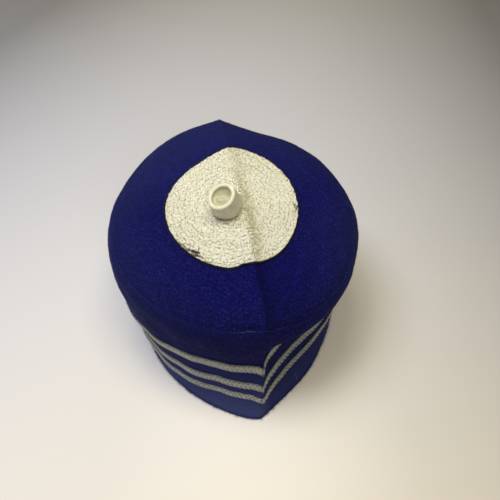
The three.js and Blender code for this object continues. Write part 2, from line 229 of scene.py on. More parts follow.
def disc_rim(th):
    """Rim of the disc as a share of its mean radius: it was cut and sewn by hand."""
    c, n = np.cos, np.sin
    out = (0.14 + 0.35 * c(th) + 0.13 * n(th) + 0.08 * c(2 * th) + 1.71 * n(2 * th) - 1.2 * c(3 * th)
           + 0.51 * n(3 * th) - 0.11 * c(4 * th) - 0.4 * n(4 * th))
    for at, wide, much in ((256.0, 7.0, 0.9), (267.0, 4.5, -0.9)):
        d = (np.degrees(th) - at + 180.0) % 360.0 - 180.0
        out = out + much * np.exp(-((d / wide) ** 2))
    return 1.0 + out / DISC_R


def disc_point(a, b, lift):
    """Point over the crown at flat disc coordinates (a across, b along the crease)."""
    x, y = slope_to_plan(DISC_U + a), DISC_Y + b
    n = crown_normal(x, y)
    return np.stack([x, y, crown_z(x, y)], -1) + n * np.asarray(lift)[..., None], n


def disc_polar(r, th, lift):
    """The same from polar coordinates; rings take up the rim's outline towards the edge."""
    k = 1.0 + (disc_rim(th) - 1.0) * np.minimum(np.abs(r) / DISC_R, 1.1) ** 2
    return disc_point(r * k * np.cos(th), r * k * np.sin(th), lift)


# ---- meshes from arrays --------------------------------------------------------------
def build(name, points, faces, material, smooth=True, attributes=None, uv=None, normals=None):
    """Mesh object from points in mm and a list of face index arrays, each (count, corners)."""
    me = bpy.data.meshes.new(name)
    v = ((np.asarray(points, float).reshape(-1, 3) + SHIFT) * 1e-3).astype(np.float32)
    corners = np.concatenate([np.asarray(f, np.int32).ravel() for f in faces])
    counts = np.concatenate([np.full(len(f), np.asarray(f).shape[1], np.int32) for f in faces])
    starts = np.concatenate([[0], np.cumsum(counts)[:-1]]).astype(np.int32)
    me.vertices.add(len(v))
    me.vertices.foreach_set("co", v.ravel())
    me.loops.add(len(corners))
    me.loops.foreach_set("vertex_index", corners)
    me.polygons.add(len(counts))
    me.polygons.foreach_set("loop_start", starts)
    me.polygons.foreach_set("use_smooth", np.full(len(counts), smooth))
    me.update(calc_edges=True)
    me.validate()
    for key, values in (attributes or {}).items():
        a = me.attributes.new(key, "FLOAT", "POINT")
        a.data.foreach_set("value", np.asarray(values, np.float32).ravel())
    if uv is not None:
        layer = me.uv_layers.new(name="OFBake")
        layer.data.foreach_set("uv", np.asarray(uv, np.float32)[corners].ravel())
    if normals is not None:
        me.normals_split_custom_set_from_vertices(np.asarray(normals, np.float32))
    me.materials.append(material)
    obj = bpy.data.objects.new(name, me)
    bpy.context.scene.collection.objects.link(obj)
    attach(obj, "root")
    return obj


def grid_faces(rows, n, closed_rows=False, first=0):
    """Quads joining rows of n points, each row a closed ring counter-clockwise from outside."""
    r = np.arange(rows if closed_rows else rows - 1)
    j = np.arange(n)
    a = (r[:, None] * n + j[None, :]) + first
    b = (r[:, None] * n + (j[None, :] + 1) % n) + first
    up = ((r[:, None] + 1) % rows) * n
    c = up + (j[None, :] + 1) % n + first
    d = up + j[None, :] + first
    return np.stack([a, b, c, d], -1).reshape(-1, 4)


def grid_normals(p):
    """Outward normals of a grid (rows, ring, 3)."""
    along = np.roll(p, -1, 1) - np.roll(p, 1, 1)
    up = np.gradient(p, axis=0)
    return unit(np.cross(along, up))


def tubes(paths, ups, wide, high, sides, closed=False, taper=None):
    """Tubes of oval section along many paths of equal point count: paths and ups are
    (count, points, 3), wide and high are half sizes that broadcast to (count, points)."""
    paths = np.asarray(paths, float)
    m, k = paths.shape[:2]
    if closed:
        tangent = unit(np.roll(paths, -1, 1) - np.roll(paths, 1, 1))
    else:
        tangent = unit(np.gradient(paths, axis=1))
    side = unit(np.cross(tangent, ups))
    top = unit(np.cross(side, tangent))
    wide = np.broadcast_to(wide, (m, k))
    high = np.broadcast_to(high, (m, k))
    a = 2 * np.pi * (np.arange(sides) + 0.5) / sides
    pts = (paths[:, :, None, :]
           + side[:, :, None, :] * (wide[..., None] * np.cos(a))[..., None]
           + top[:, :, None, :] * (high[..., None] * np.sin(a))[..., None])
    one = []
    for r in range(k if closed else k - 1):
        for j in range(sides):
            j2, r2 = (j + 1) % sides, (r + 1) % k
            one.append((r * sides + j, r * sides + j2, r2 * sides + j2, r2 * sides + j))
    one = np.array(one)[:, ::-1]
    base = (np.arange(m) * k * sides)[:, None, None]
    faces = [(one[None] + base).reshape(-1, 4)]
    if not closed:
        start = np.arange(sides)[None, None, :]
        end = np.arange(sides)[::-1][None, None, :] + (k - 1) * sides
        faces.append((start + base).reshape(-1, sides))
        faces.append((end + base).reshape(-1, sides))
    return pts.reshape(-1, 3), faces


# ---- materials -------------------------------------------------------------------------
class Paint:
    """A Principled material with a few helpers for its nodes."""

    def __init__(self, name, **constants):
        self.m = bpy.data.materials.new(name)
        self.m.use_nodes = True
        self.t = self.m.node_tree
        self.t.nodes.clear()
        out = self.t.nodes.new("ShaderNodeOutputMaterial")
        self.b = self.t.nodes.new("ShaderNodeBsdfPrincipled")
        self.t.links.new(self.b.outputs[0], out.inputs["Surface"])
        self.place = None
        for key, value in constants.items():
            self.b.inputs[key.replace("_", " ")].default_value = value

    def node(self, kind, **settings):
        n = self.t.nodes.new(kind)
        for key, value in settings.items():
            setattr(n, key, value)
        return n

    def put(self, socket, value):
        if isinstance(value, bpy.types.NodeSocket):
            self.t.links.new(value, socket)
        else:
            socket.default_value = value

    def where(self):
        if self.place is None:
            self.place = self.node("ShaderNodeTexCoord").outputs["Object"]
        return self.place

    def stretch(self, scale, turn=(0, 0, 0)):
        n = self.node("ShaderNodeMapping")
        self.put(n.inputs["Vector"], self.where())
        n.inputs["Scale"].default_value = scale
        n.inputs["Rotation"].default_value = turn
        return n.outputs[0]

    def noise(self, scale, detail=2.0, rough=0.5, vector=None, distortion=0.0):
        n = self.node("ShaderNodeTexNoise")
        self.put(n.inputs["Vector"], vector or self.where())
        n.inputs["Scale"].default_value = scale
        n.inputs["Detail"].default_value = detail
        n.inputs["Roughness"].default_value = rough
        n.inputs["Distortion"].default_value = distortion
        return n.outputs[0]

    def cells(self, scale, vector=None, randomness=1.0):
        n = self.node("ShaderNodeTexVoronoi")
        self.put(n.inputs["Vector"], vector or self.where())
        n.inputs["Scale"].default_value = scale
        n.inputs["Randomness"].default_value = randomness
        return n.outputs["Distance"]

    def attribute(self, name):
        return self.node("ShaderNodeAttribute", attribute_name=name).outputs["Fac"]

    def ramp(self, fac, *stops):
        n = self.node("ShaderNodeValToRGB")
        self.put(n.inputs[0], fac)
        e = n.color_ramp.elements
        while len(e) < len(stops):
            e.new(0.5)
        for el, (pos, colour) in zip(e, stops):
            el.position = pos
            el.color = (*colour, 1.0)
        return n.outputs[0]

    def mix(self, fac, a, b, blend="MIX"):
        n = self.node("ShaderNodeMix", data_type="RGBA", blend_type=blend)
        for socket, value in ((n.inputs[0], fac), (n.inputs[6], a), (n.inputs[7], b)):
            if isinstance(value, tuple):
                value = (*value, 1.0)
            self.put(socket, value)
        return n.outputs[2]

    def maths(self, what, a, b=0.0):
        n = self.node("ShaderNodeMath", operation=what)
        self.put(n.inputs[0], a)
        self.put(n.inputs[1], b)
        return n.outputs[0]

    def span(self, fac, low, high):
        n = self.node("ShaderNodeMapRange")
        self.put(n.inputs["Value"], fac)
        n.inputs["To Min"].default_value = low
        n.inputs["To Max"].default_value = high
        return n.outputs[0]

    def bump(self, height, distance, strength=1.0, normal=None):
        n = self.node("ShaderNodeBump")
        n.inputs["Strength"].default_value = strength
        n.inputs["Distance"].default_value = distance
        self.put(n.inputs["Height"], height)
        if normal is not None:
            self.put(n.inputs["Normal"], normal)
        return n.outputs[0]

    def colour(self, value):
        self.put(self.b.inputs["Base Color"], value)

    def rough(self, value):
        self.put(self.b.inputs["Roughness"], value)

    def normal(self, value):
        self.put(self.b.inputs["Normal"], value)


def srgb(r, g, b):
    c = np.array([r, g, b]) / 255.0
    return tuple(float(v) for v in np.where(c <= 0.04045, c / 12.92, ((c + 0.055) / 1.055) ** 2.4))


# napped blue cloth: mottled pile, fine fibre grain, greyed towards pale blue by painted sheen and painted floor light
cloth = Paint("blue_cloth", Sheen_Weight=0.12, Sheen_Roughness=0.25, Sheen_Tint=(0.42, 0.46, 0.72, 1.0),
              Specular_IOR_Level=0.08)
_pile = cloth.noise(900, 3.0, 0.65)
_mottle = cloth.noise(70, 3.0, 0.6)
_tone = cloth.ramp(_pile, (0.32, srgb(4, 4, 40)), (0.52, srgb(12, 11, 74)), (0.72, srgb(26, 25, 112)))
_tone2 = cloth.mix(cloth.span(_mottle, 0.0, 0.6), _tone, srgb(11, 10, 68))
cloth.colour(cloth.mix(cloth.attribute("dust_and_sheen"), _tone2, srgb(108, 122, 176)))
cloth.rough(cloth.span(_mottle, 0.86, 1.0))
_lay = cloth.noise(700, 2.0, 0.6, cloth.stretch((1.0, 0.35, 0.5)))
cloth.normal(cloth.bump(_pile, 0.0005, 0.6, cloth.bump(_lay, 0.0006, 0.45)))

# loose fibre ends of the nap, on the crown and on the band, greyed by painted sheen and painted floor light, and by
# grey dust specks
def nap_paint(name, sheen, green):
    paint = Paint(name, Sheen_Weight=sheen, Sheen_Roughness=0.30, Sheen_Tint=(0.42, 0.46, 0.72, 1.0),
                  Specular_IOR_Level=0.10)
    pile = paint.ramp(paint.attribute("tone"), (0.0, srgb(2, 2 + green, 34)), (0.30, srgb(4, 3 + green, 68)),
                      (0.52, srgb(8, 7 + green, 105)), (0.75, srgb(22, 20 + green, 140)),
                      (1.0, srgb(62, 60 + green, 172)))
    paint.colour(paint.mix(paint.attribute("dust_and_sheen"), pile, srgb(114, 128, 182)))
    paint.rough(paint.span(paint.attribute("tone"), 0.95, 0.75))
    return paint


nap_crown = nap_paint("blue_nap", 0.15, 0)
nap_band = nap_paint("blue_band_nap", 0.05, 3)

# cream silk of the embroidery
silk = Paint("cream_embroidery", Sheen_Weight=0.10, Sheen_Roughness=0.35, Sheen_Tint=(1.0, 0.98, 0.9, 1.0),
             Specular_IOR_Level=0.35)
silk.colour(silk.ramp(silk.attribute("tone"), (0.0, srgb(196, 189, 156)), (0.5, srgb(236, 233, 210)),
                      (1.0, srgb(250, 249, 234))))
silk.rough(silk.span(silk.attribute("tone"), 0.62, 0.45))

# ground cloth under the stitches, coloured darker than the silk as painted shade in the pinholes and gaps between them
ground = Paint("cream_ground", Specular_IOR_Level=0.2)
_weave = ground.noise(1100, 2.0, 0.6)
ground.colour(ground.ramp(_weave, (0.3, srgb(136, 130, 108)), (0.7, srgb(192, 186, 160))))
ground.rough(ground.span(_weave, 0.8, 0.95))
ground.normal(ground.bump(_weave, 0.0003, 0.6))

# black cotton cord
black = Paint("black_cord", Sheen_Weight=0.15, Sheen_Roughness=0.5, Sheen_Tint=(0.4, 0.42, 0.55, 1.0),
              Specular_IOR_Level=0.2)
_fuzz = black.noise(1700, 2.0, 0.6)
black.colour(black.ramp(_fuzz, (0.3, srgb(8, 8, 12)), (0.75, srgb(28, 28, 36))))
black.rough(black.span(_fuzz, 0.7, 0.95))
black.normal(black.bump(_fuzz, 0.0002, 0.5))

# cream satin of the knob, painted darker inside the dimple as painted shade
satin = Paint("cream_satin", Sheen_Weight=0.08, Sheen_Roughness=0.3, Sheen_Tint=(1.0, 0.98, 0.9, 1.0),
              Specular_IOR_Level=0.4)
_warp = satin.noise(1400, 2.0, 0.5, satin.stretch((1.0, 1.0, 0.12)))
_soil = satin.noise(260, 3.0, 0.65)
_clean = satin.mix(satin.span(_soil, 0.0, 1.0), srgb(244, 240, 217), srgb(196, 190, 158))
satin.colour(satin.mix(satin.attribute("dimple_shade"), _clean, satin.mix(_soil, srgb(192, 188, 156), srgb(170, 166, 134))))
satin.rough(satin.span(_warp, 0.38, 0.52))
satin.normal(satin.bump(_warp, 0.00012, 0.5, satin.bump(_soil, 0.0007, 0.6)))

# warm silver-grey braid
braid = Paint("grey_braid", Sheen_Weight=0.10, Sheen_Roughness=0.4, Sheen_Tint=(0.9, 0.9, 0.86, 1.0),
              Specular_IOR_Level=0.4)
braid.colour(braid.ramp(braid.attribute("tone"), (0.0, srgb(99, 100, 97)), (0.5, srgb(152, 153, 147)),
                        (1.0, srgb(203, 204, 197))))
braid.rough(braid.span(braid.attribute("tone"), 0.6, 0.42))

# odd loose threads, from black to off-white
thread = Paint("loose_thread", Specular_IOR_Level=0.25)
thread.colour(thread.ramp(thread.attribute("tone"), (0.0, srgb(12, 12, 18)), (0.5, srgb(120, 113, 106)),
                          (1.0, srgb(222, 220, 214))))
thread.rough(thread.span(thread.attribute("tone"), 0.9, 0.7))


# ---- painted light and shade on the blue cloth ---------------------------------------------
def band_painted_light(p):
    """Painted floor light and sheen: greyer and lighter towards the hem, half as strong on the right, faded out over
    the lowest 4 mm as painted shade at the hem's edge.
    """
    side = 1 - 0.5 * np.clip((p[..., 0] + 2.0) / 8.0, 0, 1)
    edge_shade_fade = np.clip((p[..., 2] + 1.0) / 5.0, 0, 1)
    return 0.34 * side * edge_shade_fade * np.clip(1 - p[..., 2] / 75.0, 0, 1) ** 1.4


def crown_painted_sheen(p):
    """Painted sheen: greyer and lighter along both sides, the back and the shoulder, where the cloth is seen at a
    grazing angle.
    """
    left = np.clip(-p[..., 0] / 90.0, 0, 1) ** 2.2
    back = np.clip((p[..., 1] - 15.0) / 85.0, 0, 1)
    rim = np.clip((reach(p[..., 0], p[..., 1]) - 0.72) / 0.22, 0, 1)
    right = np.clip((p[..., 0] - 20.0) / 75.0, 0, 1) ** 1.3 * np.clip((45.0 - p[..., 1]) / 60.0, 0, 1)
    return 0.035 * left + 0.085 * back + 0.018 * rim + 0.050 * right


def crown_crease_shade(p):
    """Painted shade: the nap darkened on the lee side of the crease, in front of the disc."""
    x = np.maximum(p[..., 0], 0)
    return (0.26 * np.exp(-x / 5.0) + 0.13 * np.exp(-x / 40.0)) * (p[..., 0] > -0.6) * np.clip((-25.0 - p[..., 1]) / 15.0, 0, 1)


# ---- side band -------------------------------------------------------------------------
ring = np.arange(AROUND) * 2.0 / AROUND

_cq = np.arange(76) * 2.0 / 76


def inner_plan(at):
    """The outline moved in by the cloth thickness, its corners mitred, at every ring point."""
    x, y = outline(_cq, at)
    p = np.stack([x, y], -1)
    d = unit(np.roll(p, -1, 0) - p)
    nb = np.stack([d[:, 1], -d[:, 0]], -1)
    na = np.roll(nb, 1, 0)
    k = -WALL / np.maximum(1 + (na * nb).sum(-1), 0.6)
    p = p + (na + nb) * k[:, None]
    px = np.interp(ring, np.append(_cq, 2.0), np.append(p[:, 0], p[0, 0]))
    py = np.interp(ring, np.append(_cq, 2.0), np.append(p[:, 1], p[0, 1]))
    return np.stack([px, py], -1)


def round_prow(p, reach_mm):
    """Round the folded front edge: near the tip each point becomes the mean of the outline
    within a short reach on both sides of it."""
    out = p.copy()
    for r in range(len(p)):
        d0 = reach_mm[r]
        loop = np.concatenate([p[r, AROUND // 2:], p[r, :AROUND // 2]])
        run = np.concatenate([[0], np.cumsum(np.linalg.norm(np.diff(loop, axis=0), axis=1))])
        run -= run[AROUND - AROUND // 2]
        here = np.concatenate([run[AROUND - AROUND // 2:], run[:AROUND - AROUND // 2]])
        near = np.where(np.abs(here) < 3 * d0)[0]
        d = d0 * (1 - np.abs(here[near]) / (3 * d0))
        at = here[near][:, None] + d[:, None] * np.linspace(-1, 1, 11)
        out[r, near] = np.stack([np.interp(at, run, loop[:, k]) for k in range(3)], -1).mean(1)
    return out


def seam_tuck(x, y, away):
    """Depth of the shoulder seam: shallow under the nap, opened a little beside the front."""
    open_at = np.exp(-(((x + 9.0) / 4.6) ** 2)) * (y < 0)
    return (0.18 * np.exp(-((away / 1.1) ** 2)) + 1.15 * open_at * np.exp(-(((away - 0.9) / 0.8) ** 2)))


def side_band():
    top = wall_top(ring)
    shares = np.concatenate([[0.012, 0.022, 0.036], np.linspace(0.055, 1.0, 58)])
    outer = [wall_raw(ring, np.full_like(ring, s)) for s in shares]
    bx, by = outline(ring, 1.0)
    bulge = math.asin((SEAM + SEAM_HALF_GAP - SHOULDER_FROM) / (1 - SHOULDER_FROM))
    shoulder = []
    for a in np.linspace(math.pi / 2, bulge, 10)[1:]:
        e = SHOULDER_FROM + (1 - SHOULDER_FROM) * math.sin(a)
        shoulder.append(np.stack([bx * e, by * e, crown_base(bx * e, by * e, np.full_like(bx, e))], -1))
    p = np.array(outer + shoulder)
    tip = np.concatenate([1.3 + 1.6 * np.clip(1 - shares / 0.2, 0, 1), np.full(len(shoulder), 1.3)])
    p = round_prow(p, tip)
    n = grid_normals(p)
    lift = wall_soft(p)
    # the shoulder meets the crown's own unevenness at the seam, and tucks into it
    es = np.array([SHOULDER_FROM + (1 - SHOULDER_FROM) * math.sin(a) for a in np.linspace(math.pi / 2, bulge, 10)[1:]])
    for i, e in enumerate(es):
        r = len(outer) + i
        share = i / (len(es) - 1)
        lift[r] = lift[r] * (1 - share) + crown_soft(p[r, :, 0], p[r, :, 1]) * share
        lift[r] -= 0.18 * math.exp(-(((e - SEAM) * 95 / 1.1) ** 2))
    p = p + n * lift[..., None]
    inner_low = inner_plan(0.0)
    hem_out = p[0, :, :2]
    hem = []
    for share, z in ((0.92, 0.9), (0.72, 0.25), (0.5, 0.0), (0.28, 0.22), (0.09, 0.8)):
        xy = hem_out * (1 - share) + inner_low * share
        hem.append(np.concatenate([xy, np.full((AROUND, 1), z)], 1))
    inner = []
    edge = p[-1] - n[-1] * WALL
    wide_in = inner_plan(1.0)
    for e in (SEAM + SEAM_HALF_GAP, 0.975, 0.992):
        s = (e - SHOULDER_FROM) / (1 - SHOULDER_FROM)
        xy = np.stack([bx * e, by * e], -1) + s * (wide_in - np.stack([bx, by], -1))
        z = crown_base(bx * e, by * e, np.full_like(bx, e)) - WALL * math.sqrt(1 - s * s)
        inner.append(np.concatenate([xy, z[:, None]], 1))
    for s in np.linspace(1.0, 0.03, 18):
        inner.append(np.concatenate([inner_plan(s), (top * s)[:, None]], 1))
    rows = np.concatenate([np.array(hem), p, np.array(inner)])
    # painted floor light and sheen on the band's outside, none inside, painted sheen on the shoulder rows
    dust_and_sheen = band_painted_light(rows)
    dust_and_sheen[-len(inner):] = 0.0
    for i, e in enumerate(es):
        r = len(hem) + len(outer) + i
        dust_and_sheen[r] = crown_painted_sheen(rows[r]) * (1 - 0.65 * np.clip((rows[r, :, 1] - 10.0) / 50.0, 0, 1))
    obj = build("side_band", rows, [grid_faces(len(rows), AROUND, True)], cloth.m, attributes={"dust_and_sheen": dust_and_sheen})
    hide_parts("side_wall")
    return p, n


band_points, band_normals = side_band()


# ---- crown panel -------------------------------------------------------------------------
CROWN_AROUND = 300


def crown_panel():
    q = np.arange(CROWN_AROUND) * 2.0 / CROWN_AROUND
    bx, by = outline(q, 1.0)
    edge = SEAM - SEAM_HALF_GAP
    sx, sy = bx * edge, by * edge
    shares = np.concatenate([[0.04, 0.12, 0.2, 0.28, 0.36], np.linspace(0.42, 0.96, 34), [0.97, 0.977, 0.983, 0.989, 0.994, 0.998, 1.0]])
    rows, inner = [], []
    for s in shares:
        x, y = sx * s, DISC_Y + (sy - DISC_Y) * s
        z = crown_z(x, y)
        tuck = seam_tuck(x, y, (1 - s) * np.hypot(sx, sy - DISC_Y))
        n = crown_normal(x, y)
        rows.append(np.stack([x, y, z], -1) - n * tuck[:, None])
    p = np.array(rows)
    for s in shares[::4]:
        x, y = sx * s, DISC_Y + (sy - DISC_Y) * s
        inner.append(np.stack([x, y, crown_z(x, y) - WALL], -1))
    inner.append(p[-1] - np.array([0, 0, WALL * 0.8]))
    allrows = np.concatenate([np.array(inner)[:], p[::-1]])
    n = CROWN_AROUND
    faces = [grid_faces(len(allrows), n)]
    peak = float(crown_z(np.array(0.0), np.array(DISC_Y)))
    pts = np.concatenate([allrows.reshape(-1, 3), [[0, DISC_Y, peak - WALL], [0, DISC_Y, peak]]])
    j = np.arange(n)
    low, high = len(pts) - 2, len(pts) - 1
    last = (len(allrows) - 1) * n
    faces.append(np.stack([np.full(n, low), (j + 1) % n, j], -1))
    faces.append(np.stack([np.full(n, high), last + j, last + (j + 1) % n], -1))
    # painted sheen along the crown's edges, as a colour attribute
    obj = build("crown_cloth", pts, faces, cloth.m, attributes={"dust_and_sheen": crown_painted_sheen(pts)})
    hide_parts("crown_panel")
    return p


crown_points = crown_panel()


# ---- nap: loose fibre ends standing on the blue cloth -----------------------------------
def scatter(p, n, count, seed):
    """Random places on a grid of ring rows, even over its area: places, normals and the random generator."""
    rng = np.random.default_rng(seed)
    a, b = p[:-1], np.roll(p, -1, 1)[:-1]
    c, d = np.roll(p, -1, 1)[1:], p[1:]
    area = (np.linalg.norm(np.cross(b - a, d - a), axis=-1) + np.linalg.norm(np.cross(b - c, d - c), axis=-1)).ravel()
    pick = rng.choice(len(area), count, p=area / area.sum())
    r, j = np.divmod(pick, p.shape[1])
    k = (j + 1) % p.shape[1]
    u, v = rng.random((2, count, 1))
    place = (p[r, j] * (1 - u) + p[r, k] * u) * (1 - v) + (p[r + 1, j] * (1 - u) + p[r + 1, k] * u) * v
    normal = unit((n[r, j] * (1 - u) + n[r, k] * u) * (1 - v) + (n[r + 1, j] * (1 - u) + n[r + 1, k] * u) * v)
    return place, normal, rng


def nap_fibres(name, paint, place, normal, lay, rng, length, width, spread, keep, dust_and_sheen, crease_shade, speck):
    place, normal, lay = place[keep], normal[keep], lay[keep]
    m = len(place)
    flat = unit(lay - normal * (lay * normal).sum(-1, keepdims=True))
    across = np.cross(normal, flat)
    turn = rng.normal(0, spread, (m, 1))
    flat = flat * np.cos(turn) + across * np.sin(turn)
    rise = np.radians(rng.uniform(8, 48, (m, 1)))
    way = flat * np.cos(rise) + normal * np.sin(rise)
    side = unit(np.cross(normal, way))
    roll = rng.normal(0, 0.5, (m, 1))
    side = side * np.cos(roll) + np.cross(way, side) * np.sin(roll)
    long = length * rng.uniform(0.55, 1.35, (m, 1))
    half = width * rng.uniform(0.7, 1.3, (m, 1)) / 2
    foot = place - normal * 0.12
    pts = np.stack([foot - side * half, foot + side * half, foot + way * long], 1)
    grain = 0.46 + 0.27 * waves(place, 1.7, 31) + 0.09 * waves(place, 3.6, 33) + 0.05 * waves(place, 11, 32)
    tone = np.clip(grain + rng.normal(0, 0.17, m), 0, 0.92)
    bright = rng.random(m) < 0.02
    tone[bright] = np.clip(tone[bright] + 0.25, 0, 1)
    # darker by the painted crease shade; greyer and lighter by painted sheen on the crown's edges and painted floor
    # light low on the band, with grey dust specks
    tone = np.clip(tone - crease_shade[keep], 0, 1)
    dust_and_sheen = dust_and_sheen[keep] * rng.uniform(0.6, 1.4, m) + speck * np.clip(waves(place, 1.6, 36) - 0.4, 0, 2.0)
    dust_and_sheen = np.clip(dust_and_sheen, 0, 0.95)
    tri = np.arange(m * 3).reshape(m, 3)
    face = np.cross(pts[:, 1] - pts[:, 0], pts[:, 2] - pts[:, 0])
    wrong = (face * normal).sum(-1) < 0
    tri[wrong] = tri[wrong][:, ::-1]
    u, v = 0.03 + 0.94 * tone, 0.03 + 0.94 * dust_and_sheen
    uv = np.stack([np.stack([u - 0.008, v - 0.008], -1), np.stack([u + 0.008, v - 0.008], -1),
                   np.stack([u, v + 0.012], -1)], 1).reshape(-1, 2)
    own = unit(np.cross(pts[:, 1] - pts[:, 0], pts[:, 2] - pts[:, 0]))
    own *= np.where(wrong, -1.0, 1.0)[:, None]
    shade = unit(normal * 0.8 + own * 0.35)
    obj = build(name, pts, [tri], paint.m, attributes={"tone": np.repeat(tone, 3), "dust_and_sheen": np.repeat(dust_and_sheen, 3)},
                uv=uv, normals=np.repeat(shade, 3, axis=0))
    return obj


def hem_fuzz(place, way, normal, rng):
    """Fine loose ends, each a long thin triangle, kept above the floor."""
    m = len(place)
    long = np.minimum(rng.exponential(1.0, (m, 1)) + 0.5, 3.4)
    side = unit(np.cross(way, np.array([0.0, 0.0, 1.0]))) * rng.uniform(0.07, 0.13, (m, 1))
    foot = place - unit(way) * 0.4
    tips = place + way * long
    tips[:, 2] = np.maximum(tips[:, 2] + rng.uniform(-0.3, 0.7, m), 0.12)
    pts = np.stack([foot - side, foot + side, tips], 1)
    tri = np.arange(m * 3).reshape(m, 3)
    wrong = np.cross(pts[:, 1] - pts[:, 0], pts[:, 2] - pts[:, 0])[:, 2] < 0
    tri[wrong] = tri[wrong][:, ::-1]
    tone = np.clip(rng.normal(0.35, 0.15, m), 0, 0.9)
    # a quarter of the band's painted floor light
    dust_and_sheen = 0.25 * band_painted_light(place)
    u, v = 0.03 + 0.94 * tone, 0.03 + 0.94 * dust_and_sheen
    uv = np.stack([np.stack([u - 0.008, v - 0.008], -1), np.stack([u + 0.008, v - 0.008], -1),
                   np.stack([u, v + 0.012], -1)], 1).reshape(-1, 2)
    obj = build("hem_fuzz", pts, [tri], nap_band.m, attributes={"tone": np.repeat(tone, 3), "dust_and_sheen": np.repeat(dust_and_sheen, 3)},
                uv=uv, normals=np.repeat(unit(normal * 0.6 + np.array([0.0, 0.0, 0.5])), 3, axis=0))


WALL_NAP, CROWN_NAP = ((185000, 170000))
place, normal, rng = scatter(band_points, band_normals, WALL_NAP, 101)
lay = np.stack([0.35 * waves(place, 60, 41), 0.35 * waves(place, 60, 42), -1.0 + 0.4 * waves(place, 50, 43)], -1)
_over = np.clip((place[:, 2] - wall_top(np.arctan2(place[:, 0], -place[:, 1]) / np.pi % 2.0)) / 6.0, 0, 1)
# band nap, with painted floor light low down and painted sheen on the shoulder
nap_fibres("band_nap", nap_band, place, normal, lay, rng, 1.0, 0.19, 0.8, np.ones(len(place), bool),
           band_painted_light(place) * (1 - _over) + crown_painted_sheen(place) * _over * (1 - 0.65 * np.clip((place[:, 1] - 10.0) / 50.0, 0, 1)),
           0.0 * _over, 0.020)

# the cut edge of the hem is fuzzy: fibre ends spread out from it, close to the floor
place, normal, rng = scatter(band_points[:3], band_normals[:3], 9000, 103)
lay = normal + np.stack([rng.normal(0, 0.7, len(place)), rng.normal(0, 0.7, len(place)), np.zeros(len(place))], -1)
lay = unit(lay * np.array([1.0, 1.0, 0.0])) + np.array([0.0, 0.0, -0.10])
place[:, 2] = rng.uniform(0.5, 1.6, len(place))
hem_fuzz(place, lay, normal, rng)

crown_normals = -grid_normals(crown_points)
crown_normals *= np.sign(crown_normals[..., 2:3])
place, normal, rng = scatter(crown_points, crown_normals, int(CROWN_NAP * 1.55), 102)
_u = np.interp(place[:, 0], _sx, _su) - DISC_U
off_disc = np.hypot(_u, place[:, 1] - DISC_Y) > DISC_R + 1.3
first = np.cumsum(off_disc) <= CROWN_NAP
lay = np.stack([0.5 * waves(place, 70, 44), -1.0 + 0.5 * waves(place, 70, 45), np.zeros(len(place))], -1)
# crown nap, with painted shade beside the crease and painted sheen along its edges
nap_fibres("crown_nap", nap_crown, place, normal, lay, rng, 1.15, 0.15, 0.9, off_disc & first,
           crown_painted_sheen(place), crown_crease_shade(place), 0.060)


# ---- embroidered disc -------------------------------------------------------------------
def disc_ground():
    n = 200
    th = np.arange(n) * 2 * np.pi / n
    shares = np.concatenate([[0.04], np.linspace(0.1, 0.99, 24)])
    rows = []
    for s in shares:
        rows.append(disc_polar(np.full(n, DISC_R * s), th, np.full(n, DISC_LIFT))[0])
    rows.append(disc_polar(np.full(n, DISC_R), th, np.full(n, 0.3))[0])
    under = [disc_polar(np.full(n, DISC_R * s), th, np.full(n, 0.15))[0] for s in shares[::4]]
    allrows = np.concatenate([np.array(under), np.array(rows)[::-1]])
    zero = np.zeros(1)
    poles = np.concatenate([disc_point(zero, zero, np.full(1, 0.15))[0], disc_point(zero, zero, np.full(1, DISC_LIFT))[0]])
    pts = np.concatenate([allrows.reshape(-1, 3), poles])
    j = np.arange(n)
    low, high, last = len(pts) - 2, len(pts) - 1, (len(allrows) - 1) * n
    faces = [grid_faces(len(allrows), n), np.stack([np.full(n, low), (j + 1) % n, j], -1),
             np.stack([np.full(n, high), last + j, last + (j + 1) % n], -1)]
    obj = build("disc_ground", pts, faces, ground.m)
    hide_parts("crown_disc")


disc_ground()


